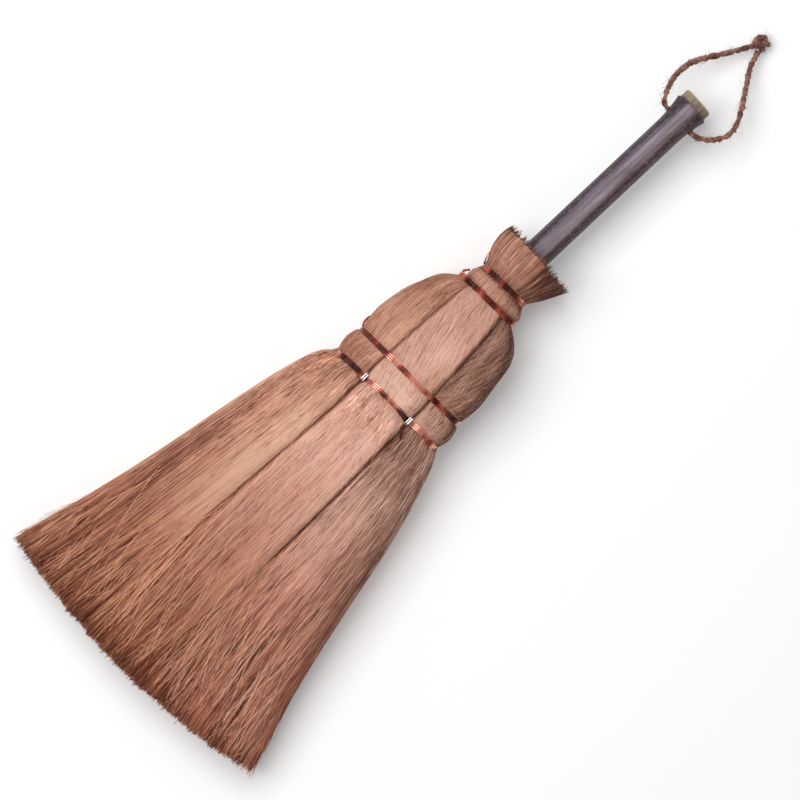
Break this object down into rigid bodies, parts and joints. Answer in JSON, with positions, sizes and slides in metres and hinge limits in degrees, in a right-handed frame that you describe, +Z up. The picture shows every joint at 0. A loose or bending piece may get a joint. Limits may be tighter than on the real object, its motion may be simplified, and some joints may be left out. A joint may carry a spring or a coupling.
{
  "type": "hand broom",
  "caption": "Short flared hand broom of palm-fibre bundles bound side by side with copper wire, with a plugged bamboo handle and a knotted twine hang loop.",
  "frame": {"origin": "under the middle of the broom's box, hang loop left out, on the surface that it lies on", "axes": "+X from the bristle tips to the handle's end, +Y to the left bundle, +Z up from the surface"},
  "size_m": [0.4546, 0.1658, 0.0446],
  "materials": {
    "dark_bamboo": "satin",
    "plug_wood": "matte",
    "pale_bamboo": "satin",
    "palm_sheath": "matte",
    "palm_fibre": "matte",
    "copper_wire": "polished",
    "steel_wire": "polished",
    "palm_twine": "matte"
  },
  "bodies": {
    "head": {"handle_culm": "dark_bamboo", "end_plug": "plug_wood", "handle_peg": "pale_bamboo", "waist_skewer": "pale_bamboo", "neck_collar": "palm_sheath", "sheath_left": "palm_sheath", "sheath_centre": "palm_sheath", "sheath_right": "palm_sheath", "core_left": "palm_fibre", "core_centre": "palm_fibre", "core_right": "palm_fibre", "neck_wire_upper": "copper_wire", "neck_wire_lower": "copper_wire", "shoulder_wire": "copper_wire", "binding_wire": "copper_wire", "stitch_left": "steel_wire", "stitch_right": "steel_wire"},
    "left_brush": {"bristles_left": "palm_fibre"},
    "centre_brush": {"bristles_centre": "palm_fibre"},
    "right_brush": {"bristles_right": "palm_fibre"},
    "hang_loop": {"cord_through": "palm_twine", "cord_left_leg": "palm_twine", "cord_right_leg": "palm_twine", "cord_knot": "palm_twine"}
  },
  "joints": [
    {"name": "left_brush_bend", "type": "hinge", "parent": "head", "child": "left_brush", "pos_m": [-0.03268, 0, 0.022], "axis": [0, 1, 0], "range_deg": [-25, 25], "stiffness_Nm_per_rad": 0.8},
    {"name": "centre_brush_bend", "type": "hinge", "parent": "head", "child": "centre_brush", "pos_m": [-0.03268, 0, 0.022], "axis": [0, 1, 0], "range_deg": [-25, 25], "stiffness_Nm_per_rad": 0.8},
    {"name": "right_brush_bend", "type": "hinge", "parent": "head", "child": "right_brush", "pos_m": [-0.03268, 0, 0.022], "axis": [0, 1, 0], "range_deg": [-25, 25], "stiffness_Nm_per_rad": 0.8},
    {"name": "loop_swing", "type": "hinge", "parent": "head", "child": "hang_loop", "pos_m": [0.18843, -0.0049, 0.022], "axis": [-0.0305, -0.9995, 0], "range_deg": [-120, 150]}
  ]
}
